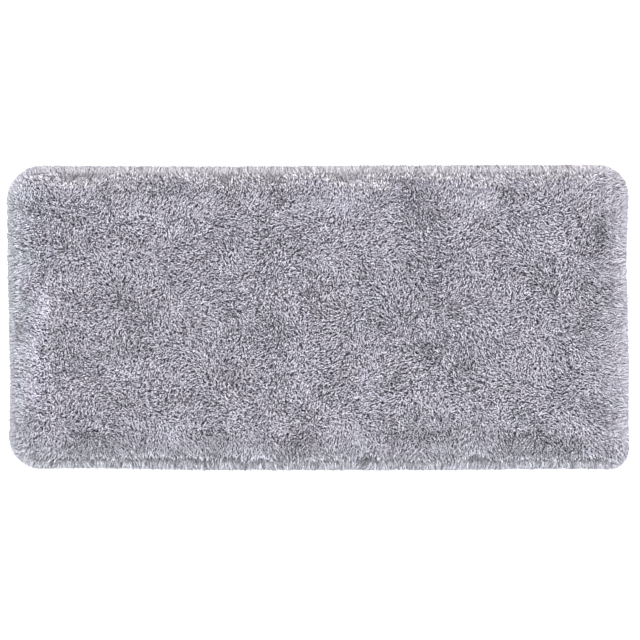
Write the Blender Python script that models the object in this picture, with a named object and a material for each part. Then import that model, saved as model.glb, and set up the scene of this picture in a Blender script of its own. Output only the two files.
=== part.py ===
"""Shag rug lying flat: a lumpy slab of tufted pile, with locks of yarn at its rim that droop to the floor."""

import math
import random

import bmesh
import bpy
from mathutils import Vector, noise

# Sizes in metres. X runs along the rug, Y across it, Z up, and the floor is z = 0.
RUG_LENGTH = 1.220  # over the tips of the longest locks
RUG_WIDTH = 0.600
PILE_HEIGHT = 0.034  # mean height of the pile in the middle of the rug, without its tufts
WALL_HEIGHT = 0.026  # top of the wall that the rim's locks grow from
CROWN_WIDTH = 0.060  # over this distance the pile rises from the wall to its full height

# Tufts of the pile. Their heads stand on a triangular lattice, and each is ringed by six lower points.
# Each pair is the least and the most.
TUFT_PITCH = 0.0262
HEAD_LIFT = (0.0013, 0.0070)  # how far a head stands up
HEAD_LEAN = (0.0016, 0.0055)  # how far a head leans off its place
LEAN_WIDTH = 0.090  # tufts nearer to each other than this lean much the same way
LEAN_TURNS = 2.0  # how many times the lean may turn round as its field goes from 0 to 1
FOOT_SINK = (0.0, 0.0039)  # how deep a point between the heads lies
FOOT_STRAY = (-0.0028, 0.0028)  # how far it strays, along X and along Y

# Lumps of the pile: how wide each kind is, and how far it lifts or sinks the surface.
LUMPS = [
    {"width": 0.160, "lift": 0.0040},
    {"width": 0.062, "lift": 0.0075},
]
RIM_LUMPS = 0.3  # share of a lump's lift that is left at the wall

# The pile of the rim lies outwards and parts from the rest along this shallow trough.
PARTING_FROM_WALL = 0.050
PARTING_WIDTH = 0.024
PARTING_DEPTH = 0.0035

# Layers of the noise that the smooth random fields are cut from, this far apart. The lumps come first.
LAYER_GAP = 10.0
PARTING_LAYER = 2
TUFT_LEAN_LAYER = 5
LOCK_LEAN_LAYER = 7

# The rim's locks. Each row of the table is a section of a lock from its root to its tip. out is the
# share of the lock's reach, width the share of its root's width, and top the height of its upper side.
LOCK_REACH = 0.030
SHORTEST_LOCK = 0.76  # of LOCK_REACH
LOCK_SECTIONS = [
    {"out": 0.34, "width": 0.86, "top": 0.0245},
    {"out": 0.72, "width": 0.66, "top": 0.0140},
]
LOCK_TIP_WIDTH = 0.30  # of its root's width
LOCK_TOP_WIDTH = 0.72  # width of a lock's upper side, as a share of its underside's
LOCK_HEIGHT = (0.86, 1.14)  # least and most of the heights above
SIDE_LEAN = 0.0120  # how far a lock's tip leans to one side as its field goes from 0 to 1
SIDE_LEAN_WIDTH = 0.090  # locks nearer to each other than this lean much the same way
FAN_WIDTH = 0.080  # locks nearer to a corner than this fan out round it
BORDER_STRAY = (-0.32, 0.32)  # how far the border of two locks strays along the wall, in lattice steps
WALL_TOP_STRAY = (-0.0022, 0.0022)  # how far the wall's top strays up or down

# Corner radii of the rug's outline. end is the side of X, side is the side of Y.
CORNERS = [
    {"end": -1, "side": 1, "radius": 0.038},
    {"end": 1, "side": 1, "radius": 0.042},
    {"end": -1, "side": -1, "radius": 0.062},
    {"end": 1, "side": -1, "radius": 0.034},
]
LEAST_WALL_RADIUS = 0.014  # of the slab's own corners, inside the locks

# Where the outline falls short of a true rectangle. The edge faces the given way along X (axis 0) or
# Y (axis 1), place is the middle of the hollow along the edge from -1 to 1, and spread its half width.
HOLLOWS = [
    {"axis": 0, "facing": -1, "depth": 0.0055, "place": -0.45, "spread": 0.60},
    {"axis": 0, "facing": 1, "depth": 0.0045, "place": 0.35, "spread": 0.35},
    {"axis": 1, "facing": 1, "depth": 0.0030, "place": -0.40, "spread": 0.60},
    {"axis": 1, "facing": -1, "depth": 0.0040, "place": -0.75, "spread": 0.25},
    {"axis": 1, "facing": -1, "depth": 0.0025, "place": 0.80, "spread": 0.25},
]

SEED = 7
PILE_COLOUR = (0.47, 0.455, 0.51, 1.0)
PILE_ROUGHNESS = 0.85

LATTICE_STEP = TUFT_PITCH / math.sqrt(3)
WALL_LENGTH = RUG_LENGTH - 2 * LOCK_REACH
WALL_WIDTH = RUG_WIDTH - 2 * LOCK_REACH
UP = Vector((0, 0, 1))


def clear_scene():
    for old in list(bpy.data.objects):
        bpy.data.objects.remove(old, do_unlink=True)


def corner_radius(u, v, inset):
    """Radius of the outline's corner nearest to (u, v), once the outline is moved in by inset."""
    for corner in CORNERS:
        if corner["end"] * u >= 0 and corner["side"] * v >= 0:
            return max(corner["radius"] - inset, LEAST_WALL_RADIUS)
    return LEAST_WALL_RADIUS


def hollow(axis, facing, along):
    """How far the edge that faces this way falls short at this place along it."""
    depth = 0.0
    for row in HOLLOWS:
        if row["axis"] == axis and row["facing"] == facing:
            depth += row["depth"] * math.exp(-(((along - row["place"]) / row["spread"]) ** 2))
    return depth


def on_rug(u, v, inset):
    """Point of the plan for lattice place (u, v), both from -1 to 1, on an outline moved in by inset."""
    half_length = RUG_LENGTH / 2 - inset - hollow(0, math.copysign(1, u), v) * abs(u)
    half_width = RUG_WIDTH / 2 - inset - hollow(1, math.copysign(1, v), u) * abs(v)
    x = u * half_length
    y = v * half_width
    radius = corner_radius(u, v, inset)
    past_x = abs(x) - (half_length - radius)
    past_y = abs(y) - (half_width - radius)
    if past_x > 0 and past_y > 0:
        # Turns the square corner of the lattice into a quarter of a disc.
        pull = max(past_x, past_y) / math.hypot(past_x, past_y)
        x = math.copysign(half_length - radius + past_x * pull, x)
        y = math.copysign(half_width - radius + past_y * pull, y)
    return Vector((x, y, 0))


def field(place, width, layer):
    """A smooth random value at a place, about -0.5 to 0.5, that changes over this width."""
    return noise.noise(Vector((place.x / width, place.y / width, LAYER_GAP * layer)))


def pile_top(place, to_wall):
    """Height of the pile, without its tufts, at a place that lies to_wall from the slab's wall."""
    crown = math.sin(min(to_wall / CROWN_WIDTH, 1.0) * math.pi / 2)
    height = WALL_HEIGHT + (PILE_HEIGHT - WALL_HEIGHT) * crown
    for layer, lump in enumerate(LUMPS):
        height += lump["lift"] * field(place, lump["width"], layer) * (RIM_LUMPS + (1 - RIM_LUMPS) * crown)
    parting = math.exp(-(((to_wall - PARTING_FROM_WALL) / PARTING_WIDTH) ** 2))
    return height - PARTING_DEPTH * parting * (1 + field(place, PARTING_FROM_WALL, PARTING_LAYER))


def lean_direction(place):
    """Which way the head of a tuft at this place leans."""
    turn = 2 * math.pi * LEAN_TURNS * field(place, LEAN_WIDTH, TUFT_LEAN_LAYER)
    return Vector((math.cos(turn), math.sin(turn), 0))


def wall_point(u, v, draw):
    """A point of the wall's top edge."""
    return on_rug(u, v, LOCK_REACH) + UP * (WALL_HEIGHT + draw.uniform(*WALL_TOP_STRAY))


def pile_point(u, v, is_head, draw):
    """A point of the pile inside the wall: the head of a tuft, or one of the feet between the heads."""
    place = on_rug(u, v, LOCK_REACH)
    to_wall = min((1 - abs(u)) * WALL_LENGTH / 2, (1 - abs(v)) * WALL_WIDTH / 2)
    height = pile_top(place, to_wall)
    if is_head:
        lean = lean_direction(place) * draw.uniform(*HEAD_LEAN)
        return place + lean + UP * (height + draw.uniform(*HEAD_LIFT))
    stray = Vector((draw.uniform(*FOOT_STRAY), draw.uniform(*FOOT_STRAY), 0))
    return place + stray + UP * (height - draw.uniform(*FOOT_SINK))


def lattice_columns(row, steps):
    """Places along a row, in lattice steps. Odd rows are half a step across, with a point at each end."""
    if row % 2 == 0:
        return [float(step) for step in range(steps + 1)]
    return [0.0] + [step + 0.5 for step in range(steps)] + [float(steps)]


def slab_top(plan, draw):
    """The slab's upper surface: rows of lattice points, each a vertex with its place (u, v)."""
    steps = round(WALL_LENGTH / LATTICE_STEP)
    last_row = 2 * round(WALL_WIDTH / (LATTICE_STEP * math.sqrt(3)))
    rows = []
    for row in range(last_row + 1):
        points = []
        for column in lattice_columns(row, steps):
            u = 2 * column / steps - 1
            v = 2 * row / last_row - 1
            if abs(u) < 1 and abs(v) < 1:
                is_head = round(column - 1.5 * row) % 3 == 0
                point = pile_point(u, v, is_head, draw)
            else:
                if abs(u) < 1:
                    u += 2 * draw.uniform(*BORDER_STRAY) / steps
                elif abs(v) < 1:
                    v += 2 * draw.uniform(*BORDER_STRAY) / last_row
                point = wall_point(u, v, draw)
            points.append((plan.verts.new(point), u, v))
        rows.append(points)
    for lower, upper in zip(rows, rows[1:]):
        join_rows(plan, lower, upper)
    return rows


def join_rows(plan, lower, upper):
    """Fills the strip between two rows of the lattice with triangles, walking along both at once."""
    low = 0
    high = 0
    while low < len(lower) - 1 or high < len(upper) - 1:
        step_low = high == len(upper) - 1
        if not step_low and low < len(lower) - 1:
            step_low = lower[low + 1][1] + lower[low][1] < upper[high + 1][1] + upper[high][1]
        if step_low:
            plan.faces.new((lower[low][0], lower[low + 1][0], upper[high][0]))
            low += 1
        else:
            plan.faces.new((lower[low][0], upper[high + 1][0], upper[high][0]))
            high += 1


def rim_loop(rows):
    """The points round the slab's edge, anticlockwise seen from above."""
    loop = rows[0][:-1]
    loop += [points[-1] for points in rows[:-1]]
    loop += list(reversed(rows[-1]))[:-1]
    loop += [points[0] for points in reversed(rows[1:])]
    return loop


def lock(plan, root, tip, lean, height_share):
    """One lock grown from a wall face whose corners are root: low left, low right, top right, top left.

    It droops and narrows towards its tip, and its underside lies on the floor all the way.
    """
    low_left, low_right = root[0].co, root[1].co
    middle = (low_left + low_right) / 2
    across = (low_right - low_left) / 2
    ring = root
    for section in LOCK_SECTIONS:
        centre = middle + (tip - middle) * section["out"] + lean * section["out"] ** 2
        half = across * section["width"]
        top = centre + UP * section["top"] * height_share
        corners = [centre - half, centre + half, top + half * LOCK_TOP_WIDTH, top - half * LOCK_TOP_WIDTH]
        ahead = [plan.verts.new(corner) for corner in corners]
        for n in range(4):
            after = (n + 1) % 4
            plan.faces.new((ring[n], ring[after], ahead[after], ahead[n]))
        ring = ahead
    half = across * LOCK_TIP_WIDTH
    left = plan.verts.new(tip + lean - half)
    right = plan.verts.new(tip + lean + half)
    plan.faces.new((ring[0], ring[1], right, left))
    plan.faces.new((ring[1], ring[2], right))
    plan.faces.new((ring[2], ring[3], left, right))
    plan.faces.new((ring[3], ring[0], left))


def fanned(share, half_size, reach):
    """Place along its edge, from -1 to 1, of the tip of a lock that is rooted at share.

    The lock points straight out, and turns towards the corner where the corner is near.
    """
    fan = max(0.0, 1 - (1 - abs(share)) * half_size / FAN_WIDTH) ** 2
    return share * (1 - (1 - fan) * reach / half_size)


def lock_tip(u, v, reach):
    """Where the tip of the lock lies that is rooted at the wall's place (u, v)."""
    if abs(v) == 1:
        u = fanned(u, RUG_LENGTH / 2, reach)
    else:
        v = fanned(v, RUG_WIDTH / 2, reach)
    return on_rug(u, v, LOCK_REACH - reach)


def rim_locks(plan, loop, draw):
    """A lock from every face of the slab's wall, and the slab's flat underside."""
    low = [plan.verts.new((vertex.co.x, vertex.co.y, 0)) for vertex, _, _ in loop]
    for n in range(len(loop)):
        after = (n + 1) % len(loop)
        near, near_u, near_v = loop[n]
        far, far_u, far_v = loop[after]
        reach = LOCK_REACH * draw.uniform(SHORTEST_LOCK, 1.0)
        tip = lock_tip((near_u + far_u) / 2, (near_v + far_v) / 2, reach)
        sideways = (low[after].co - low[n].co).normalized()
        lean = sideways * SIDE_LEAN * field(tip, SIDE_LEAN_WIDTH, LOCK_LEAN_LAYER)
        lock(plan, (low[n], low[after], far, near), tip, lean, draw.uniform(*LOCK_HEIGHT))
    plan.faces.new(list(reversed(low)))


def fit_to_size(plan):
    """Puts the middle of the rug over the frame's origin and brings its longest tips to the stated size."""
    xs = [vertex.co.x for vertex in plan.verts]
    ys = [vertex.co.y for vertex in plan.verts]
    middle = Vector(((min(xs) + max(xs)) / 2, (min(ys) + max(ys)) / 2, 0))
    share = Vector((RUG_LENGTH / (max(xs) - min(xs)), RUG_WIDTH / (max(ys) - min(ys)), 1))
    bmesh.ops.translate(plan, verts=plan.verts, vec=-middle)
    bmesh.ops.scale(plan, verts=plan.verts, vec=share)


def pile_material():
    material = bpy.data.materials.new("pile_yarn")
    material.use_nodes = True
    shader = material.node_tree.nodes["Principled BSDF"]
    shader.inputs["Base Color"].default_value = PILE_COLOUR
    shader.inputs["Roughness"].default_value = PILE_ROUGHNESS
    shader.inputs["Metallic"].default_value = 0.0
    return material


def shag_rug():
    draw = random.Random(SEED)
    plan = bmesh.new()
    rows = slab_top(plan, draw)
    rim_locks(plan, rim_loop(rows), draw)
    fit_to_size(plan)
    mesh = bpy.data.meshes.new("shag_rug")
    plan.to_mesh(mesh)
    plan.free()
    mesh.materials.append(pile_material())
    rug = bpy.data.objects.new("shag_rug", mesh)
    bpy.context.scene.collection.objects.link(rug)
    return rug


clear_scene()
shag_rug()
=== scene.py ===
import math

import bmesh
import bpy
import numpy as np
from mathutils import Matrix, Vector, noise
from mathutils.bvhtree import BVHTree
from mathutils.kdtree import KDTree


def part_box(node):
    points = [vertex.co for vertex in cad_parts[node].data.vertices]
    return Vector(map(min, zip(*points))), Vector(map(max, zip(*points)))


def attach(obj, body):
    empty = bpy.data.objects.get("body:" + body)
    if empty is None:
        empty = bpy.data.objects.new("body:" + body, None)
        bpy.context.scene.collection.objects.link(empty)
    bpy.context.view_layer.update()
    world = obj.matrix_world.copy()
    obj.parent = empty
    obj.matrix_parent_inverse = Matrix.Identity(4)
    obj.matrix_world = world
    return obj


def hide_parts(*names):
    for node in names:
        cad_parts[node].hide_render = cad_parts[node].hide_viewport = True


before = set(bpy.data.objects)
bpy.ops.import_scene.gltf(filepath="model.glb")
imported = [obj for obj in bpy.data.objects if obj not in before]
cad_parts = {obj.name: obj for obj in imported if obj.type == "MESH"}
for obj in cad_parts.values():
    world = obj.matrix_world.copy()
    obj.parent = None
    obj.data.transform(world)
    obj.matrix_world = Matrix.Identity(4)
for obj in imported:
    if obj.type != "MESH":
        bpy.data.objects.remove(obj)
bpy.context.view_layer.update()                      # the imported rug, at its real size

print("frame loaded:", sorted(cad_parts))

rugLow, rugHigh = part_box("shag_rug")
halfLength = (rugHigh[0] - rugLow[0]) / 2
halfWidth = (rugHigh[1] - rugLow[1]) / 2
touching = 1e-4                        # points nearer than this are the same
tiny = 1e-9                            # keeps a division from being by nought

# the rug's outline seen from above; end is the side of X and side the side of Y
outline = {
    "corners": [
        {"end": -1, "side": 1, "radius": 0.069},
        {"end": 1, "side": 1, "radius": 0.061},
        {"end": -1, "side": -1, "radius": 0.067},
        {"end": 1, "side": -1, "radius": 0.040},
    ],
    # where an edge falls short of a true rectangle; axis is 0 for an edge that faces along X and
    # 1 for Y, and place is the middle of the hollow along the edge, from -1 to 1
    "hollows": [
        {"axis": 0, "facing": -1, "depth": 0.0055, "place": -0.45, "spread": 0.60},
        {"axis": 0, "facing": 1, "depth": 0.0045, "place": 0.35, "spread": 0.35},
        {"axis": 1, "facing": 1, "depth": 0.0030, "place": -0.40, "spread": 0.60},
        {"axis": 1, "facing": -1, "depth": 0.0040, "place": -0.75, "spread": 0.25},
        {"axis": 1, "facing": -1, "depth": 0.0025, "place": 0.80, "spread": 0.25},
    ],
    # height of the pile this far in from the outline, where the rim droops to the floor
    "rimDepths": (0.0, 0.0084, 0.0198, 0.030),
    "rimHeights": (0.003, 0.0160, 0.0260, 0.031),
}

# the cloth that the pile is tufted into
groundCloth = {
    "inset": 0.020,                    # from the rug's outline to the cloth's edge
    "leastRadius": 0.010,              # of its corners
    "arcSteps": 8,
    "thickness": 0.0022,
    "hemWidth": 0.014,
    "hemThickness": 0.0008,
    "wornEdge": 0.0004,
    "colour": (0.30, 0.285, 0.32),
    "weavePitch": 0.0018,
    "weaveChange": 0.06,               # share by which the weave is darker or paler
    "patches": {"scale": 60.0, "detail": 3.0, "change": 0.3},
    "darkest": 0.82,                   # share of the colour before weave and patches are added
    "bump": {"strength": 0.5, "height": 0.0004},
}

# the yarns of the pile, and how they stand
pile = {
    "seed": 11,
    "pieces": 6,                       # long strips that the yarns are joined into
    "pitch": 0.00258,                  # between neighbouring tips
    "shake": 0.38,                     # share of the pitch by which a tip strays from its place
    "thickness": 0.0020,
    "thicknesses": (0.85, 1.15),       # least and greatest share of that thickness
    "frayed": {"depth": 0.010, "share": 0.10},      # the rim's ends are frayed and so thicker
    "length": 0.046,
    "lengthChange": 0.07,              # share by which yarns differ
    "fieldRings": (0.74,),             # where a yarn of the field has its rings, from root to tip
    "rimRings": (0.40, 0.72),
    # the rim
    "rootDepth": 0.022,                # least depth of a root inside the outline
    "rimDepth": 0.018,                 # tips nearer than about this to the outline are the rim's
    "rimBlend": 0.011,                 # by how much more or less, so that the two kinds mix
    "edgeBand": 0.013,                 # width of the extra tips that are drawn out to the outline
    "ragged": (-0.0012, 0.0060),       # how far those may fall short of it
    "combEnd": 0.115,                  # tips deeper than this don't lean outwards
    "fanBand": 0.115,                  # how far in the fans at the corners begin
    "rimReach": 0.026,                 # how far out a tip of the rim lies from over its root
    "rimReaches": (0.75, 1.20),        # least and greatest share of that reach
    "sideways": 0.28,                  # share of its reach by which a yarn strays to the side
    "slant": {"share": 0.60, "width": 0.060},       # and by which its neighbours go with it
    "rimStray": 0.5,                   # share of the field's straying that the rim has too
    "layers": 0.65,                    # share of its height by which a tip may lie under others
    "lowestTip": 0.0014,
    # the field
    "drift": {"reach": 0.0095, "turn": 2.2, "width": 0.120},        # it lies over, and turns slowly
    "leastLean": 0.0090,               # no yarn lies over by less, before it strays
    "stray": 0.0055,                   # how far a yarn strays from its neighbours' lean
    # small tufts lean together: rows is the share of the pitch between their rows, and leans the
    # least and greatest share of the lean
    "tuft": {"pitch": 0.0090, "rows": 0.87, "shake": 0.45, "lean": 0.0024, "leans": (0.4, 1.1)},
    "fieldDepth": 0.022,               # from here on the tips leave the rim's slope
    "fieldBlend": 0.016,               # and this much deeper they all follow the solid's top
    "tipDrop": 0.0014,                 # of the tips below the solid's top
    "tipChange": {"spread": 0.0055, "most": 2, "atRim": 0.4},       # how their heights differ
    "lumps": {"share": 0.22, "width": 0.016},       # how much of the solid's lumps they follow
    "filled": {"depth": 0.080, "width": 0.026, "lift": 0.0030},     # they fill the solid's parting
    # painted shade: a sunken yarn's brightness is scaled by shade, as shade in the gap it leaves
    "sunken": {"share": 0.06, "drop": 0.008, "shade": 0.55},        # short yarns leave dark gaps
    # the single yarn
    "rootHeight": 0.8,                 # of the cloth's thickness
    "bend": 0.22,                      # share of the reach at which a yarn begins to turn over
    "highestTurn": 0.12,
    "leastSlack": 1.02,                # a yarn is longer than the straight way by this at least
    "kink": 0.0006,                    # how far a yarn strays from its curve
    "lowest": 0.0002,                  # no yarn reaches below this
}

chance = np.random.default_rng(pile["seed"])

# soft random changes over the rug, each cut from its own level of the noise
noiseLevels = {"drift": 10.0, "slant": 30.0, "shade": 50.0, "tint": 60.0, "wander": 70.0}


def deselectAll():
    if bpy.context.object and bpy.context.object.mode != "OBJECT":
        bpy.ops.object.mode_set(mode="OBJECT")
    bpy.ops.object.select_all(action="DESELECT")


# in edit mode, selects the points for which the test holds
def pickPoints(thing, test):
    mesh = bmesh.from_edit_mesh(thing.data)
    for vert in mesh.verts:
        vert.select = test(vert.co)
    mesh.select_flush(False)
    bmesh.update_edit_mesh(thing.data)


def smooth(share):
    share = np.clip(share, 0, 1)
    return share * share * (3 - 2 * share)


# soft hump of height 1 at a place, nearly nought past twice its width
def hump(away, width):
    return np.exp(-((away / width) ** 2))


def hollowDepth(axis, facing, along):
    depth = np.zeros_like(along)
    for row in outline["hollows"]:
        if row["axis"] == axis:
            swell = row["depth"] * hump(along - row["place"], row["spread"])
            depth = depth + np.where(facing == row["facing"], swell, 0)
    return depth


# half sizes of the rug at a place, and the radius of the nearest corner
def outlineHalves(x, y):
    end, side = np.where(x < 0, -1, 1), np.where(y < 0, -1, 1)
    halfX = halfLength - hollowDepth(0, end, y / halfWidth)
    halfY = halfWidth - hollowDepth(1, side, x / halfLength)
    radius = np.zeros_like(x)
    for corner in outline["corners"]:
        isHere = (end == corner["end"]) & (side == corner["side"])
        radius = np.where(isHere, corner["radius"], radius)
    return halfX, halfY, radius


# how far places lie inside the outline; negative outside
def depthInside(places):
    x, y = places[:, 0], places[:, 1]
    halfX, halfY, radius = outlineHalves(x, y)
    pastX, pastY = np.abs(x) - halfX + radius, np.abs(y) - halfY + radius
    roundCorner = np.hypot(np.maximum(pastX, 0), np.maximum(pastY, 0))
    return radius - roundCorner - np.minimum(np.maximum(pastX, pastY), 0)


# direction towards the nearest edge, fanned round the corners; nought in the field
def outwards(places):
    x, y = places[:, 0], places[:, 1]
    halfX, halfY, _ = outlineHalves(x, y)
    band = pile["fanBand"]
    awayX = x - np.clip(x, band - halfX, halfX - band)
    awayY = y - np.clip(y, band - halfY, halfY - band)
    away = np.maximum(np.hypot(awayX, awayY), tiny)
    return np.stack([awayX / away, awayY / away], axis=1)


# soft random values, about -1 to 1, that change over this width
def softChange(places, width, what):
    level = noiseLevels[what]
    return 2 * np.array([noise.noise(Vector((x / width, y / width, level))) for x, y in places])


# the solid's own top: its height on a fine grid
def readSolid():
    step, above = 0.004, 0.2
    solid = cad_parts["shag_rug"]
    tree = BVHTree.FromPolygons([v.co for v in solid.data.vertices],
                                [p.vertices for p in solid.data.polygons])
    columns = np.arange(rugLow[0], rugHigh[0] + step, step)
    rows = np.arange(rugLow[1], rugHigh[1] + step, step)
    down = Vector((0, 0, -1))
    heights = np.zeros((len(rows), len(columns)))
    for j, y in enumerate(rows):
        for i, x in enumerate(columns):
            hit = tree.ray_cast(Vector((x, y, above)), down)[0]
            heights[j, i] = hit.z if hit else 0
    return {"columns": columns, "rows": rows, "heights": heights, "step": step}


# height of the solid at each place, between the grid's points
def solidTop(places):
    heights, step = solidGrid["heights"], solidGrid["step"]
    lastRow, lastColumn = heights.shape[0] - 1.001, heights.shape[1] - 1.001
    atX = np.clip((places[:, 0] - solidGrid["columns"][0]) / step, 0, lastColumn)
    atY = np.clip((places[:, 1] - solidGrid["rows"][0]) / step, 0, lastRow)
    i, j = atX.astype(int), atY.astype(int)
    partX, partY = atX - i, atY - j
    low = heights[j, i] * (1 - partX) + heights[j, i + 1] * partX
    high = heights[j + 1, i] * (1 - partX) + heights[j + 1, i + 1] * partX
    return low * (1 - partY) + high * partY


solidGrid = readSolid()
print("solid read")


# a shader socket that sums can be written with
class Wire:
    def __init__(self, finish, socket):
        self.finish, self.socket = finish, socket

    def maths(self, operation, *others):
        return self.finish.node("Math", {"operation": operation}, dict(enumerate((self, *others))))

    def __add__(self, other):
        return self.maths("ADD", other)

    def __sub__(self, other):
        return self.maths("SUBTRACT", other)

    def __rsub__(self, other):
        return (self * -1) + other

    def __mul__(self, other):
        return self.maths("MULTIPLY", other)

    def __truediv__(self, other):
        return self.maths("DIVIDE", other)

    __radd__, __rmul__ = __add__, __mul__


class Finish:
    def __init__(self, name, **constants):
        self.material = bpy.data.materials.new(name)
        self.material.use_nodes = True
        self.tree = self.material.node_tree
        self.shader = self.tree.nodes["Principled BSDF"]
        for socket, value in constants.items():
            self.shader.inputs[socket.replace("_", " ")].default_value = value

    def node(self, kind, settings=None, sockets=None, output=0):
        node = self.tree.nodes.new("ShaderNode" + kind)
        settings = dict(settings or {})
        stops = settings.pop("stops", [])
        for name, value in settings.items():
            setattr(node, name, value)
        for place, _ in stops[2:]:     # a ramp has two stops of its own
            node.color_ramp.elements.new(place)
        for element, (place, colour) in zip(node.color_ramp.elements if stops else [], stops):
            element.position, element.color = place, (*colour, 1)
        for name, value in (sockets or {}).items():
            if isinstance(value, Wire):
                self.tree.links.new(value.socket, node.inputs[name])
            else:
                node.inputs[name].default_value = value
        return Wire(self, node.outputs[output])

    def split(self, vector):
        across = self.node("SeparateXYZ", sockets={0: vector})
        return across, Wire(self, across.socket.node.outputs[1])

    def scaled(self, colour, by):
        return self.node("VectorMath", {"operation": "SCALE"}, {0: colour, "Scale": by})

    def feed(self, socket, wire):
        self.tree.links.new(wire.socket, self.shader.inputs[socket])


# each yarn takes one cell of a chart: its column is a shade and its row a tint
yarnFinish = {
    "mapName": "OFBake",               # the yarns' own map
    "cells": 10,
    "margin": 0.06,                    # of a cell, left free at its border
    # painted shade: each yarn darkens towards its root, where shade falls deep in the pile, and is
    # a little darker at its very tip to damp the light it catches
    "stops": [                         # from root to tip
        (0.00, (0.12, 0.115, 0.130)),
        (0.60, (0.270, 0.259, 0.294)),
        (0.76, (0.755, 0.724, 0.820)),
        (1.00, (0.69, 0.662, 0.749)),
    ],
    "shades": (0.16, 1.00),            # brightness of the darkest and the palest column
    # brightness of the yarns: yarns is by how much they differ singly, most of them a little
    # and a few much darker, and patches by how much they differ together
    "shade": {"middle": 0.84, "yarns": 0.06, "gamma": (1.6, 0.8),
              "patches": 0.03, "patchWidth": 0.045},
    "tint": {"middle": 0.5, "yarns": 0.06, "patches": 0.06, "patchWidth": 0.060},
    # the sides: open is how far in the yarns lie open and show less of the painted shade at their
    # roots, uneven how much more they differ singly, tint how much cooler (below 0) or warmer they
    # are, and shades the share by which they are darker or paler at each of these depths, painted
    # light and shade for how light falls on each side
    "rimDepths": (0.0, 0.008, 0.012, 0.016, 0.020, 0.026, 0.040, 0.070, 0.090, 0.115),
    "rims": [
        {"axis": 0, "facing": -1, "open": 0.080, "uneven": 0.4, "tint": -0.42,
         "shades": (-0.385, -0.555, -0.05, -0.27, -0.24, -0.05, -0.06, 0.20, 0.0, 0.0)},
        {"axis": 0, "facing": 1, "open": 0.070, "uneven": 0.4, "tint": 0.0,
         "shades": (-0.30, -0.49, -0.09, -0.25, -0.28, -0.11, -0.23, -0.17, -0.08, 0.0)},
        {"axis": 1, "facing": 1, "open": 0.020, "uneven": 1.9, "tint": 0.45,
         "shades": (-0.34, -0.53, -0.28, 0.27, -0.13, 0.17, -0.19, -0.04, 0.01, 0.0)},
        {"axis": 1, "facing": -1, "open": 0.020, "uneven": 4.5, "tint": -0.36,
         "shades": (-0.27, -0.69, -0.52, 0.34, -0.10, -0.12, -0.20, -0.12, 0.0, 0.0)},
    ],
    "wander": {"share": 0.5, "most": 0.035, "width": 0.050},        # of those depths along a side
    "unevenDepth": 0.024,              # as far in as this, the yarns of a side differ by more
    "rimOpen": 0.55,                   # share of the painted root shade that an open yarn hides
    "rimTint": (0.020, 0.048),         # depths between which a side's tint fades out
    "tints": [                         # from the lowest row to the highest: cool, plain, warm
        (0.0, (0.92, 0.965, 0.94)),
        (0.5, (0.96, 0.96, 0.96)),
        (1.0, (0.97, 0.965, 0.91)),
    ],
    # fine changes of brightness along and round a yarn, other ones in each cell
    "fibres": {"change": 0.16, "around": 3, "along": 5, "perColumn": 3.7, "perRow": 1.3},
    # grooves between the plies, bumped and darkened in the colour by depth as painted shade in
    # them; lines is how many cross a yarn on its way
    "plies": {"lines": 10, "slant": 1.0, "depth": 0.38},
    "bump": {"strength": 0.35, "height": 0.0004},
}

# where the yarn looks cooler (below 0) or warmer than the rest
tintPatches = [
    {"place": (-0.565, 0.215), "radius": 0.035, "tint": -0.5},
    {"place": (-0.570, 0.130), "radius": 0.050, "tint": -0.5},
    {"place": (-0.582, 0.010), "radius": 0.030, "tint": -0.5},
    {"place": (-0.580, -0.090), "radius": 0.040, "tint": -0.45},
    {"place": (-0.570, -0.235), "radius": 0.040, "tint": -0.5},
    {"place": (-0.440, -0.280), "radius": 0.060, "tint": -0.5},
    {"place": (-0.290, -0.205), "radius": 0.016, "tint": -0.4},
    {"place": (-0.200, -0.280), "radius": 0.060, "tint": -0.35},
    {"place": (-0.142, -0.062), "radius": 0.016, "tint": -0.4},
    {"place": (0.112, 0.042), "radius": 0.018, "tint": -0.4},
    {"place": (0.080, -0.020), "radius": 0.018, "tint": -0.45},
    {"place": (0.085, -0.232), "radius": 0.020, "tint": -0.4},
    {"place": (0.185, -0.200), "radius": 0.018, "tint": -0.4},
    {"place": (0.222, -0.092), "radius": 0.018, "tint": -0.45},
    {"place": (0.270, -0.270), "radius": 0.060, "tint": -0.45},
    {"place": (0.362, 0.192), "radius": 0.018, "tint": -0.4},
    {"place": (0.380, -0.195), "radius": 0.025, "tint": -0.45},
    {"place": (0.450, -0.280), "radius": 0.050, "tint": -0.45},
    {"place": (0.550, -0.025), "radius": 0.020, "tint": -0.4},
    {"place": (0.555, -0.165), "radius": 0.020, "tint": -0.4},
    {"place": (0.020, 0.040), "radius": 0.018, "tint": 0.5},
    {"place": (-0.010, 0.012), "radius": 0.018, "tint": 0.4},
    {"place": (0.055, -0.115), "radius": 0.016, "tint": 0.4},
]


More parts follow.
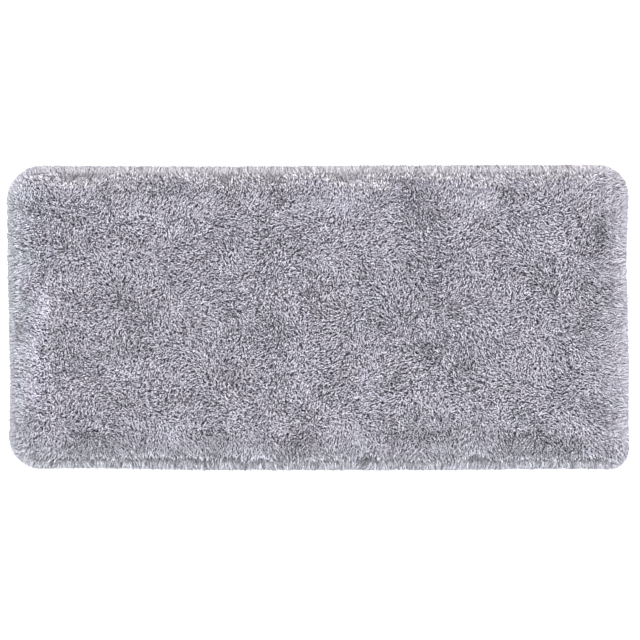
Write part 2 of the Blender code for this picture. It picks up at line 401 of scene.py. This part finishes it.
def makeYarnFinish():
    cells, margin = yarnFinish["cells"], yarnFinish["margin"]
    finish = Finish("pile_yarn", Roughness=0.8, Sheen_Weight=0.1, Sheen_Roughness=0.45,
                    Specular_IOR_Level=0.25)
    acrossMap, upMap = finish.split(finish.node("UVMap", {"uv_map": yarnFinish["mapName"]}))
    acrossMap, upMap = acrossMap * cells, upMap * cells
    column, row = acrossMap.maths("FLOOR"), upMap.maths("FLOOR")
    inner = 1 - 2 * margin
    around = (acrossMap - column - margin) / inner
    along = (upMap - row - margin) / inner

    # painted shade at the root, from the ramp
    ramp = finish.node("ValToRGB", {"stops": yarnFinish["stops"]}, {0: along})
    fibre, ply = yarnFinish["fibres"], yarnFinish["plies"]
    place = finish.node("CombineXYZ", sockets={
        0: around * fibre["around"],
        1: along * fibre["along"],
        2: column * fibre["perColumn"] + row * fibre["perRow"],
    })
    fibres = finish.node("TexNoise", sockets={"Vector": place, "Scale": 1.0, "Detail": 1.0})
    plies = ((around * ply["slant"] + along * ply["lines"]) * (2 * math.pi)).maths("SINE")
    low, high = yarnFinish["shades"]
    shade = column * ((high - low) / (cells - 1)) + low
    bright = shade * (fibres * (2 * fibre["change"]) + (1 - fibre["change"]))
    # painted shade in the grooves between the plies
    bright = bright * (plies * (ply["depth"] / 2) + (1 - ply["depth"] / 2))
    tint = finish.node("ValToRGB", {"stops": yarnFinish["tints"]}, {0: row / (cells - 1)})
    colour = finish.node("Mix", {"data_type": "RGBA", "blend_type": "MULTIPLY"},
                         {0: 1.0, 6: ramp, 7: tint}, 2)
    finish.feed("Base Color", finish.scaled(colour, bright))

    finish.feed("Normal", finish.node("Bump", sockets={
        "Strength": yarnFinish["bump"]["strength"],
        "Distance": yarnFinish["bump"]["height"],
        "Height": plies,
    }))
    return finish.material


def makeClothFinish():
    finish = Finish("ground_cloth", Roughness=0.9, Specular_IOR_Level=0.2)
    place = finish.node("TexCoord", output=3)
    across, up = finish.split(place)
    perMetre = math.pi / groundCloth["weavePitch"]
    weave = (across * perMetre).maths("SINE") * (up * perMetre).maths("SINE")
    patch, bump = groundCloth["patches"], groundCloth["bump"]
    patches = finish.node("TexNoise", sockets={
        "Vector": place, "Scale": patch["scale"], "Detail": patch["detail"]})
    plain = finish.node("CombineXYZ", sockets=dict(enumerate(groundCloth["colour"])))
    bright = patches * patch["change"] + weave * groundCloth["weaveChange"] + groundCloth["darkest"]
    finish.feed("Base Color", finish.scaled(plain, bright))
    finish.feed("Normal", finish.node("Bump", sockets={
        "Strength": bump["strength"], "Distance": bump["height"], "Height": weave}))
    return finish.material


# the ground cloth: cut with rounded corners, its hem turned and so a little thicker
def makeGroundCloth():
    inset, hemWidth, hemThickness = (groundCloth[k] for k in ("inset", "hemWidth", "hemThickness"))
    length, width = 2 * (halfLength - inset), 2 * (halfWidth - inset)
    deselectAll()
    bpy.ops.mesh.primitive_plane_add(size=1)
    cloth = bpy.context.object
    cloth.name = cloth.data.name = "ground_cloth"
    bpy.ops.object.mode_set(mode="EDIT")
    bpy.ops.transform.resize(value=(length, width, 1))
    for corner in outline["corners"]:
        tip = Vector((corner["end"] * length / 2, corner["side"] * width / 2, 0))
        pickPoints(cloth, lambda at: (at - tip).length < touching)
        bpy.ops.mesh.bevel(offset=max(corner["radius"] - inset, groundCloth["leastRadius"]),
                           segments=groundCloth["arcSteps"], affect="VERTICES")
    bpy.ops.mesh.select_all(action="SELECT")
    bpy.ops.mesh.extrude_region_move(
        TRANSFORM_OT_translate={"value": (0, 0, groundCloth["thickness"] + hemThickness)})
    bpy.ops.mesh.inset(thickness=hemWidth)
    bpy.ops.mesh.extrude_region_move(TRANSFORM_OT_translate={"value": (0, 0, -hemThickness)})
    bpy.ops.mesh.select_all(action="SELECT")
    bpy.ops.mesh.normals_make_consistent(inside=False)
    bpy.ops.object.mode_set(mode="OBJECT")
    edge = cloth.modifiers.new("worn_edge", "BEVEL")
    edge.width, edge.segments, edge.limit_method = groundCloth["wornEdge"], 2, "ANGLE"
    bpy.ops.object.modifier_apply(modifier=edge.name)
    bpy.ops.object.shade_smooth_by_angle(angle=math.radians(40))
    cloth.data.materials.append(makeClothFinish())
    return cloth, (width + 2 * hemWidth, length + 2 * hemWidth)


# one yarn as a maker would draw it: upright, one unit thick and one unit high, its root a point
# and its tip a point or cut flat
def makeYarn(name, rings, pointed):
    sides, firstAngle = 3, 90
    deselectAll()
    bpy.ops.mesh.primitive_cylinder_add(vertices=sides, radius=0.5, depth=1,
                                        end_fill_type="NOTHING", location=(0, 0, 0.5))
    yarn = bpy.context.object
    bpy.ops.object.transform_apply(location=True)
    bpy.ops.object.mode_set(mode="EDIT")
    for height in rings:
        bpy.ops.mesh.select_all(action="SELECT")
        bpy.ops.mesh.bisect(plane_co=(0, 0, height), plane_no=(0, 0, 1))
    pickPoints(yarn, lambda at: at.z < touching)
    bpy.ops.mesh.merge(type="CENTER")
    pickPoints(yarn, lambda at: at.z > 1 - touching and (pointed or at.y < 0))
    bpy.ops.mesh.merge(type="CENTER")
    bpy.ops.mesh.select_all(action="SELECT")
    bpy.ops.mesh.normals_make_consistent(inside=False)
    bpy.ops.object.mode_set(mode="OBJECT")
    points = np.array([v.co for v in yarn.data.vertices])
    # the map runs across and back round a yarn, so that it has no seam
    angle = np.degrees(np.arctan2(points[:, 1], points[:, 0])) - firstAngle
    corner = np.round(angle / (360 / sides), 2) % sides
    isMiddle = np.hypot(points[:, 0], points[:, 1]) < touching
    shape = {
        "points": points,
        "around": np.where(isMiddle, 0.5, corner / (sides - 1)),
        "faces": [list(p.vertices) for p in yarn.data.polygons],
    }
    bpy.data.objects.remove(yarn)
    print(name, "modelled:", len(points), "points,", len(shape["faces"]), "faces")
    return shape


# tips on a shaken lattice over the whole rug, so that it has no bare spots
def placeTips():
    pitch, shake = pile["pitch"], pile["shake"]
    rows = []
    for k, y in enumerate(np.arange(-halfWidth, halfWidth, pitch * math.sqrt(3) / 2)):
        x = np.arange(-halfLength + (k % 2) * pitch / 2, halfLength, pitch)
        rows.append(np.stack([x, np.full_like(x, y)], axis=1))
    places = np.concatenate(rows)
    places = places + chance.uniform(-shake, shake, places.shape) * pitch
    depth = depthInside(places)
    return places[depth > 0], depth[depth > 0]


# the rim has as many tips again along the outline itself
def placeEdgeTips():
    places, depth = placeTips()
    places = places[depth < pile["edgeBand"]]
    short = chance.uniform(*pile["ragged"], len(places))
    out = outwards(places)
    for _ in range(3):
        places = places + out * (depthInside(places) - short)[:, None]
    return places


# the lean of the tuft that each tip belongs to
def tuftLeans(tips):
    tuft = pile["tuft"]
    pitch, shake = tuft["pitch"], tuft["shake"]
    x, y = np.meshgrid(np.arange(-halfLength, halfLength, pitch),
                       np.arange(-halfWidth, halfWidth, pitch * tuft["rows"]))
    middles = np.stack([x.ravel(), y.ravel()], axis=1)
    middles = middles + chance.uniform(-shake, shake, middles.shape) * pitch
    turn = chance.uniform(0, 2 * math.pi, len(middles))
    lean = np.stack([np.cos(turn), np.sin(turn)], axis=1)
    lean = lean * chance.uniform(*tuft["leans"], (len(middles), 1))
    tree = KDTree(len(middles))
    for index, (x, y) in enumerate(middles):
        tree.insert((x, y, 0), index)
    tree.balance()
    return lean[[tree.find((x, y, 0))[1] for x, y in tips]]


# how high the tips stand: the rim's on its slope to the floor, the field's on the solid's top
def tipHeights(tips, depth, isEdge):
    count = len(tips)
    rim = np.interp(depth, outline["rimDepths"], outline["rimHeights"])
    rim = rim * (1 - pile["layers"] * chance.uniform(0, 1, count))

    lumps, filled = pile["lumps"], pile["filled"]
    angles = np.linspace(0, 2 * math.pi, 7)[1:]
    around = [solidTop(tips + np.array([math.cos(a), math.sin(a)]) * lumps["width"])
              for a in angles]
    field = sum(around) / len(around)
    field = field + (solidTop(tips) - field) * lumps["share"]
    field = field + filled["lift"] * hump(depth - filled["depth"], filled["width"])

    inField = smooth((depth - pile["fieldDepth"]) / pile["fieldBlend"])
    change, sunken = pile["tipChange"], pile["sunken"]
    strays = np.clip(chance.normal(0, 1, count), -change["most"], change["most"])
    strays = strays * change["spread"] * (change["atRim"] + (1 - change["atRim"]) * inField)
    top = rim * (1 - inField) + field * inField - pile["tipDrop"] + strays
    isSunken = (chance.uniform(0, 1, count) < sunken["share"]) & ~isEdge
    return np.maximum(top - sunken["drop"] * isSunken, pile["lowestTip"]), isSunken


# the height at which yarns that run up and over to their tips have the length that they should
def turnHeights(start, end, flat, length):
    halvings = 24
    chord = np.linalg.norm(end - start, axis=1)
    # a curve is about a third of the way from its chord to the way over its turning point
    target = np.maximum(3 * length - 2 * chord, chord * pile["leastSlack"])
    low, high = np.full(len(start), 0.0), np.full(len(start), pile["highestTurn"])
    for _ in range(halvings):
        middle = (low + high) / 2
        turning = np.column_stack([flat, middle])
        way = np.linalg.norm(turning - start, axis=1) + np.linalg.norm(end - turning, axis=1)
        isShort = way < target
        low, high = np.where(isShort, middle, low), np.where(isShort, high, middle)
    return (low + high) / 2


# where each yarn begins, turns over and ends
def layYarns():
    inner, edge = placeTips()[0], placeEdgeTips()
    tips = np.concatenate([inner, edge])
    isEdge = np.arange(len(tips)) >= len(inner)
    count = len(tips)
    depth = depthInside(tips)
    comb = np.clip(1 - depth / pile["combEnd"], 0, 1)

    # in the field the pile lies over by the same amount everywhere, in a direction that drifts
    drift, tuft, slant = pile["drift"], pile["tuft"], pile["slant"]
    heading = drift["turn"] * softChange(tips, drift["width"], "drift")
    fieldLean = np.stack([np.cos(heading), np.sin(heading)], axis=1)
    fieldLean = fieldLean * (drift["reach"] * (1 - comb))[:, None]
    stray = pile["stray"] * chance.normal(0, 1, (count, 2)) + tuft["lean"] * tuftLeans(tips)
    stray = stray * np.where(isEdge, 0, 1 - (1 - pile["rimStray"]) * comb)[:, None]

    # the rim's yarns are combed outwards from roots that all stand on the cloth
    reach = pile["rimReach"] * chance.uniform(*pile["rimReaches"], count) * comb
    out = outwards(tips)
    aside = slant["share"] * softChange(tips, slant["width"], "slant")
    aside = aside + chance.normal(0, pile["sideways"], count)
    sideways = np.stack([-out[:, 1], out[:, 0]], axis=1) * aside[:, None]
    lean = (out + sideways) * reach[:, None] + fieldLean
    size = np.maximum(np.linalg.norm(lean, axis=1, keepdims=True), tiny)
    lean = lean * np.maximum(size, pile["leastLean"]) / size + stray
    for _ in range(3):
        roots = tips - lean
        short = pile["rootDepth"] - depthInside(roots)
        lean = lean + outwards(roots) * np.maximum(short, 0)[:, None]
    roots = tips - lean

    top, isSunken = tipHeights(tips, depth, isEdge)
    start = np.column_stack([roots, np.full(count, groundCloth["thickness"] * pile["rootHeight"])])
    end = np.column_stack([tips, top])
    length = pile["length"] * (1 + pile["lengthChange"] * chance.uniform(-1, 1, count))
    flat = start[:, :2] + lean * pile["bend"]
    turning = np.column_stack([flat, turnHeights(start, end, flat, length)])
    print("yarns laid:", count)
    return {"start": start, "turning": turning, "end": end, "depth": depth, "isSunken": isSunken}


# which cell of the chart each yarn takes, and how much of the painted shade at its root shows
def chooseCells(yarns):
    cells, rims = yarnFinish["cells"], yarnFinish["rims"]
    roots, tips, depth = yarns["start"][:, :2], yarns["end"][:, :2], yarns["depth"]
    count = len(depth)
    out = outwards(tips)
    shares = [np.maximum(out[:, rim["axis"]] * rim["facing"], 0) ** 2 for rim in rims]

    shades, tints, wander = yarnFinish["shade"], yarnFinish["tint"], yarnFinish["wander"]
    uneven = sum(share * rim["uneven"] for share, rim in zip(shares, rims))
    change = 1 + smooth(1 - depth / yarnFinish["unevenDepth"]) * uneven
    single = 1 - chance.gamma(*shades["gamma"], count)
    shade = shades["middle"] + shades["yarns"] * change * single
    shade = shade + shades["patches"] * softChange(roots, shades["patchWidth"], "shade")
    tint = tints["middle"] + tints["yarns"] * chance.normal(0, 1, count)
    tint = tint + tints["patches"] * softChange(roots, tints["patchWidth"], "tint")

    depth = depth + (wander["share"] * np.minimum(depth, wander["most"])
                     * softChange(tips, wander["width"], "wander"))
    first, last = yarnFinish["rimTint"]
    dark = np.ones(count)
    # painted light and shade on each side of the rim by depth, and less painted root shade where
    # its yarns lie open
    for share, rim in zip(shares, rims):
        shade = shade * (1 + share * np.interp(depth, yarnFinish["rimDepths"], rim["shades"]))
        tint = tint + share * rim["tint"] * smooth((last - depth) / (last - first))
        dark = dark - share * yarnFinish["rimOpen"] * smooth(1 - depth / rim["open"])
    for patch in tintPatches:
        away = np.hypot(roots[:, 0] - patch["place"][0], roots[:, 1] - patch["place"][1])
        tint = tint + patch["tint"] * hump(away, patch["radius"])
    # painted shade in the gaps: sunken yarns are darker
    shade = np.where(yarns["isSunken"], pile["sunken"]["shade"], 1) * shade

    low, high = yarnFinish["shades"]
    column = np.round((shade - low) / (high - low) * (cells - 1)).astype(int)
    row = (tint * cells).astype(int)
    return np.clip(column, 0, cells - 1), np.clip(row, 0, cells - 1), dark


# many copies of one yarn, each along its own curve: their points, and their places on the chart
def bendYarns(shape, yarns, chosen, column, row, dark):
    start, turning, end = (yarns[key][chosen][:, None, :] for key in ("start", "turning", "end"))
    count = len(chosen)
    heights = shape["points"][:, 2]
    along = heights[None, :, None]
    curve = (1 - along) ** 2 * start + 2 * along * (1 - along) * turning + along ** 2 * end
    heading = (1 - along) * (turning - start) + along * (end - turning)
    heading = heading / np.linalg.norm(heading, axis=2, keepdims=True)
    lean = (end - start)[:, :, :2]
    lean = lean / np.maximum(np.linalg.norm(lean, axis=2, keepdims=True), tiny)
    side = np.concatenate([-lean[..., 1:2], lean[..., 0:1], np.zeros((count, 1, 1))], axis=2)
    side = np.broadcast_to(side, heading.shape)
    across = np.cross(heading, side)

    # every ring of a yarn strays from its curve as one, and only the root stays
    levels, level = np.unique(np.round(heights, 4), return_inverse=True)
    kink = chance.normal(0, 0.5, (count, len(levels), 2)) * pile["kink"]
    kink = (kink * (levels > 0)[None, :, None])[:, level]
    roll = chance.uniform(0, 2 * math.pi, (count, 1))
    frayed = pile["frayed"]
    fray = np.clip(1 - yarns["depth"][chosen] / frayed["depth"], 0, 1) * frayed["share"]
    thick = pile["thickness"] * (1 + fray)[:, None]
    thick = thick * chance.uniform(*pile["thicknesses"], (count, 1))
    atX, atY = shape["points"][:, 0][None], shape["points"][:, 1][None]
    partSide = (atX * np.cos(roll) - atY * np.sin(roll)) * thick + kink[..., 0]
    partAcross = (atX * np.sin(roll) + atY * np.cos(roll)) * thick + kink[..., 1]
    points = curve + side * partSide[..., None] + across * partAcross[..., None]
    points[..., 2] = np.maximum(points[..., 2], pile["lowest"])

    cells, margin = yarnFinish["cells"], yarnFinish["margin"]
    inner = 1 - 2 * margin
    # a yarn that lies open shows less of the painted root shade
    shown = 1 - dark[chosen][:, None] * (1 - heights[None])
    mapX = (column[chosen][:, None] + margin + inner * shape["around"][None]) / cells
    mapY = (row[chosen][:, None] + margin + inner * shown) / cells
    return points, np.stack([mapX, mapY], axis=2)


# one strip of the pile: all its yarns in one mesh, with their map
def makePilePiece(name, parts, material):
    points, maps, loops, sizes, offset = [], [], [], [], 0
    for shape, partPoints, partMap in parts:
        count, perYarn = partPoints.shape[:2]
        corners = np.concatenate([np.array(face) for face in shape["faces"]])
        loops.append((np.arange(count)[:, None] * perYarn + corners[None] + offset).ravel())
        sizes.append(np.tile([len(face) for face in shape["faces"]], count))
        points.append(partPoints.reshape(-1, 3))
        maps.append(partMap.reshape(-1, 2))
        offset += count * perYarn
    points, maps, loops, sizes = (np.concatenate(rows) for rows in (points, maps, loops, sizes))
    mesh = bpy.data.meshes.new(name)
    mesh.vertices.add(len(points))
    mesh.vertices.foreach_set("co", points.astype(np.float32).ravel())
    mesh.loops.add(len(loops))
    mesh.loops.foreach_set("vertex_index", loops.astype(np.int32))
    mesh.polygons.add(len(sizes))
    mesh.polygons.foreach_set("loop_start", (np.cumsum(sizes) - sizes).astype(np.int32))
    mesh.update(calc_edges=True)
    layer = mesh.uv_layers.new(name=yarnFinish["mapName"])
    layer.data.foreach_set("uv", maps[loops].astype(np.float32).ravel())
    mesh.shade_flat()
    mesh.materials.append(material)
    piece = bpy.data.objects.new(name, mesh)
    bpy.context.scene.collection.objects.link(piece)
    print(name, "joined:", int((sizes - 2).sum()), "triangles")
    return piece


def makePile():
    shapes = [makeYarn("field yarn", pile["fieldRings"], True),
              makeYarn("rim yarn", pile["rimRings"], False)]
    perYarn = [sum(len(face) - 2 for face in shape["faces"]) for shape in shapes]
    yarns = layYarns()
    chart = chooseCells(yarns)
    blend = pile["rimBlend"] * chance.uniform(-1, 1, len(yarns["depth"]))
    kind = (yarns["depth"] < pile["rimDepth"] + blend).astype(int)
    # long strips side by side across the rug's width, with the same share of triangles each
    order = np.argsort(yarns["start"][:, 1], kind="stable")
    load = np.cumsum(np.array(perYarn)[kind[order]])
    strip = (load * pile["pieces"] / (load[-1] + 1)).astype(int)
    material = makeYarnFinish()
    pieces = []
    for k in range(pile["pieces"]):
        mine = order[strip == k]
        parts = []
        for which, shape in enumerate(shapes):
            chosen = mine[kind[mine] == which]
            parts.append((shape, *bendYarns(shape, yarns, chosen, *chart)))
        pieces.append(makePilePiece(f"pile_strip_{k + 1}", parts, material))
    return pieces


# plain floor, soft light from above and from the rug's far side, and the camera straight above
# as in the photo
studio = {
    "viewWidth": 1.2550,               # of the floor that the camera sees
    "viewMiddle": (0.0039, -0.0050),
    "viewEnd": 200,
    "lens": 85,
    "sensor": 36,
    "floorSize": 80,
    "floorDrop": 0.0004,               # below the rug, so that the two don't share a plane
    "floorColour": (0.82, 0.82, 0.825, 1),
    "skyColour": (0.97, 0.975, 1.0, 1),
    "skyStrength": 2.48,
    # height is in degrees above the floor, and turn in degrees from the far side to the left
    "key": {"strength": 2.2, "angle": 16, "height": 66, "turn": 6},
}


def setStudio():
    scene = bpy.context.scene
    scene.view_settings.view_transform = "Standard"
    camera = bpy.data.objects.new("camera", bpy.data.cameras.new("camera"))
    camera.data.lens, camera.data.sensor_width = studio["lens"], studio["sensor"]
    camera.data.clip_end = studio["viewEnd"]
    distance = studio["viewWidth"] * studio["lens"] / studio["sensor"]
    camera.location = (*studio["viewMiddle"], distance)
    scene.collection.objects.link(camera)
    scene.camera = camera

    deselectAll()
    bpy.ops.mesh.primitive_plane_add(size=studio["floorSize"],
                                     location=(0, 0, -studio["floorDrop"]))
    floor = bpy.context.object
    floor.name = "floor"
    bpy.ops.object.transform_apply(location=True)
    finish = Finish("floor", Base_Color=studio["floorColour"], Roughness=0.7,
                    Specular_IOR_Level=0.1)
    floor.data.materials.append(finish.material)

    key = studio["key"]
    light = bpy.data.objects.new("key", bpy.data.lights.new("key", "SUN"))
    light.data.energy, light.data.angle = key["strength"], math.radians(key["angle"])
    height, turn = math.radians(key["height"]), math.radians(key["turn"])
    flat = math.cos(height)
    towards = Vector((math.sin(turn) * flat, -math.cos(turn) * flat, -math.sin(height)))
    light.rotation_euler = towards.to_track_quat("-Z", "Y").to_euler()
    scene.collection.objects.link(light)

    world = bpy.data.worlds.new("studio")
    world.use_nodes = True
    sky = world.node_tree.nodes["Background"]
    sky.inputs["Color"].default_value = studio["skyColour"]
    sky.inputs["Strength"].default_value = studio["skyStrength"]
    scene.world = world
    print("studio set")


setStudio()
cloth, clothCut = makeGroundCloth()
print("ground cloth made, cut to", [round(side, 3) for side in clothCut])
pilePieces = makePile()

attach(cloth, "root")
for piece in pilePieces:
    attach(piece, "root")
    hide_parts("shag_rug")
